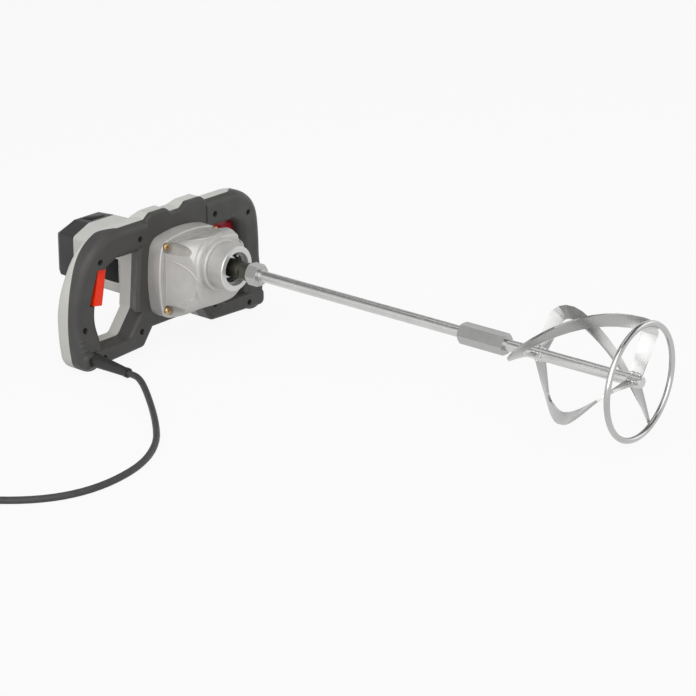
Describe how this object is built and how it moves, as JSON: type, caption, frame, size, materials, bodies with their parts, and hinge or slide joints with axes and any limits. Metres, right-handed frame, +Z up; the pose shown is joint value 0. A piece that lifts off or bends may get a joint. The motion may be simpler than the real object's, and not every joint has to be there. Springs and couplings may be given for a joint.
{
  "type": "mixing drill",
  "caption": "Two-handed electric mixing drill with D handles, cast gearbox, geared spindle, joined paddle rod with ring and twisted blades, and a mains cord.",
  "frame": {"origin": "on the floor below the middle of the drill and its paddle, measured without the cord", "axes": "+X to the right seen from the paddle, +Y backwards from the paddle to the motor cap, +Z up from the floor; the spindle leans down towards the paddle"},
  "size_m": [0.7409, 0.7498, 0.1572],
  "materials": {
    "charcoal_plastic": "grained",
    "grey_plastic": "grained",
    "cap_plastic": "grained",
    "red_plastic": "moulded",
    "cast_aluminium": "blasted casting",
    "plate_aluminium": "machined",
    "black_steel": "blackened",
    "gear_steel": "hardened",
    "bright_steel": "drawn",
    "galvanised_steel": "galvanised",
    "bright_ring": "polished",
    "zinc_steel": "yellow zinc",
    "dark_screw": "blackened",
    "core_steel": "laminated",
    "copper": "enamelled",
    "brass": "drawn",
    "bronze": "sintered",
    "carbon": "pressed carbon",
    "fan_plastic": "moulded",
    "switch_plastic": "moulded",
    "black_rubber": "smooth",
    "cord_rubber": "matt",
    "tie_plastic": "moulded",
    "plug_rubber": "moulded",
    "nickel": "plated"
  },
  "bodies": {
    "housing": {"front_frame": "charcoal_plastic", "rear_housing": "grey_plastic", "rear_cap": "cap_plastic", "gearbox_cover": "cast_aluminium", "bearing_plate": "plate_aluminium", "gearbox_screws": "zinc_steel", "frame_screws": "dark_screw", "cap_screws": "dark_screw", "field_core": "core_steel", "field_coils": "copper", "brush_holders": "brass", "carbon_brushes": "carbon", "armature_front_bearing": "bright_steel", "armature_rear_bearing": "bright_steel", "layshaft_bushes": "bronze", "spindle_front_bearing": "bright_steel", "spindle_rear_bush": "bronze", "nose_circlip": "black_steel", "switches": "switch_plastic", "cord_sleeve": "black_rubber", "power_cord": "cord_rubber", "cord_coil": "cord_rubber", "cord_tie": "tie_plastic", "plug_body": "plug_rubber", "plug_pins": "nickel"},
    "left_trigger": {"left_trigger": "red_plastic"},
    "right_trigger": {"right_trigger": "red_plastic"},
    "armature": {"armature_shaft": "gear_steel", "armature_core": "core_steel", "armature_windings": "copper", "commutator": "copper", "fan": "fan_plastic"},
    "layshaft": {"layshaft": "gear_steel", "layshaft_gear": "gear_steel"},
    "spindle": {"spindle": "black_steel", "output_gear": "gear_steel", "lock_nut": "black_steel", "upper_rod": "bright_steel", "hex_coupling": "galvanised_steel", "lower_rod": "bright_steel", "blade_1": "galvanised_steel", "blade_2": "galvanised_steel", "blade_3": "galvanised_steel", "mixing_ring": "bright_ring"}
  },
  "joints": [
    {"name": "right_trigger_press", "type": "slide", "parent": "housing", "child": "right_trigger", "axis": [0.9824, -0.0133, 0.1861], "range_m": [0, 0.005], "stiffness_N_per_m": 600, "springref_m": -0.005},
    {"name": "left_trigger_press", "type": "slide", "parent": "housing", "child": "left_trigger", "axis": [-0.9824, -0.0133, 0.1861], "range_m": [0, 0.005], "stiffness_N_per_m": 600, "springref_m": -0.005},
    {"name": "spindle_spin", "type": "hinge", "parent": "housing", "child": "spindle", "pos_m": [0, 0.22169, 0.10184], "axis": [0, -0.9975, -0.071], "continuous": true},
    {"name": "layshaft_spin", "type": "hinge", "parent": "housing", "child": "layshaft", "pos_m": [0.02065, 0.22284, 0.08568], "axis": [0, -0.9975, -0.071], "continuous": true},
    {"name": "armature_spin", "type": "hinge", "parent": "housing", "child": "armature", "pos_m": [0, 0.22318, 0.08089], "axis": [0, -0.9975, -0.071], "continuous": true}
  ],
  "couplings": [
    {"joint": "layshaft_spin", "follows": "spindle_spin", "ratio": -3.2},
    {"joint": "armature_spin", "follows": "spindle_spin", "ratio": 15.644}
  ]
}
